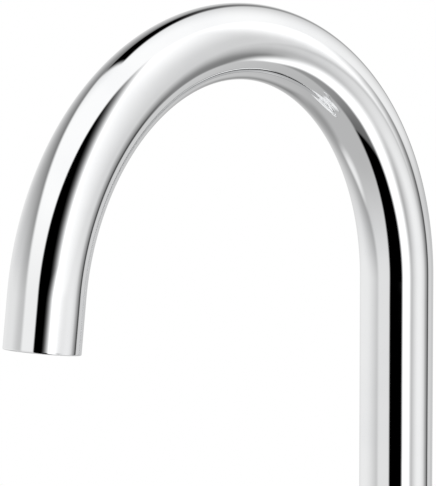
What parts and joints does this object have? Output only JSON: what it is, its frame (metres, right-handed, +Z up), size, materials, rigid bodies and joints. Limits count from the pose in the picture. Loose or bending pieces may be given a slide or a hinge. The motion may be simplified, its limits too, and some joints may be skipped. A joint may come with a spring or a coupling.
{
  "type": "bathroom sink faucet",
  "caption": "Single-hole bathroom sink faucet with a swivelling chrome gooseneck spout, a side lever with a ceramic disc cartridge, and a threaded shank with clamp nut for the deck.",
  "frame": {"origin": "on the deck, at the axis of the mounting shank and of the spout's leg", "axes": "+Z up, -Y the way the spout points, towards the user, +X the valve axis, outward to the lever"},
  "size_m": [0.0815, 0.1745, 0.3367],
  "materials": {
    "spout_chrome": "bright polished chrome plate",
    "body_chrome": "bright polished chrome plate",
    "trim_chrome": "bright polished chrome plate",
    "lever_chrome": "bright polished chrome plate",
    "turned_brass": "turned, unplated",
    "bright_steel": "bright turned stainless",
    "dark_plastic": "moulded, fine matte",
    "light_plastic": "moulded acetal, fine matte",
    "alumina": "lapped ceramic",
    "black_rubber": "moulded rubber, dull"
  },
  "bodies": {
    "body": {"body_casting": "body_chrome", "glide_ring": "dark_plastic", "spout_stop_screw": "bright_steel", "base_ring": "trim_chrome", "base_seal": "black_rubber", "mounting_shank": "turned_brass", "cartridge_base": "dark_plastic", "port_seals": "black_rubber", "fixed_disc": "alumina", "cartridge_housing": "dark_plastic", "cartridge_nut": "turned_brass", "bonnet": "trim_chrome"},
    "spout": {"spout_tube": "spout_chrome", "outlet_insert": "turned_brass", "aerator_housing": "light_plastic", "flow_straightener": "light_plastic", "flow_regulator": "light_plastic", "aerator_seal": "black_rubber", "spout_foot": "turned_brass", "spout_o_rings": "black_rubber", "spout_collar": "trim_chrome"},
    "mixer": {"rotary_sleeve": "light_plastic", "stem_pin": "bright_steel"},
    "lever": {"stem": "bright_steel", "handle_hub": "lever_chrome", "lever_rod": "lever_chrome", "handle_set_screw": "bright_steel", "index_plug": "lever_chrome"},
    "discs": {"moving_disc": "alumina", "disc_carrier": "light_plastic"},
    "clamp": {"rubber_washer": "black_rubber", "steel_washer": "bright_steel", "mounting_nut": "turned_brass"}
  },
  "joints": [
    {"name": "spout_swivel", "type": "hinge", "parent": "body", "child": "spout", "pos_m": [0, 0, 0.077], "axis": [0, 0, 1], "range_deg": [-60, 60]},
    {"name": "mixer_turn", "type": "hinge", "parent": "body", "child": "mixer", "pos_m": [0.03053, 0, 0.05], "axis": [1, 0, 0], "range_deg": [-45, 45]},
    {"name": "flow_tilt", "type": "hinge", "parent": "mixer", "child": "lever", "pos_m": [0.03053, 0, 0.05], "axis": [0, 1, 0], "range_deg": [0, 20]},
    {"name": "disc_slide", "type": "slide", "parent": "mixer", "child": "discs", "axis": [0, 0, 1], "range_m": [0, 0.00378]},
    {"name": "nut_travel", "type": "slide", "parent": "body", "child": "clamp", "axis": [0, 0, 1], "range_m": [-0.014, 0.026]}
  ],
  "couplings": [
    {"joint": "disc_slide", "follows": "flow_tilt", "m_per_rad": 0.010778}
  ]
}
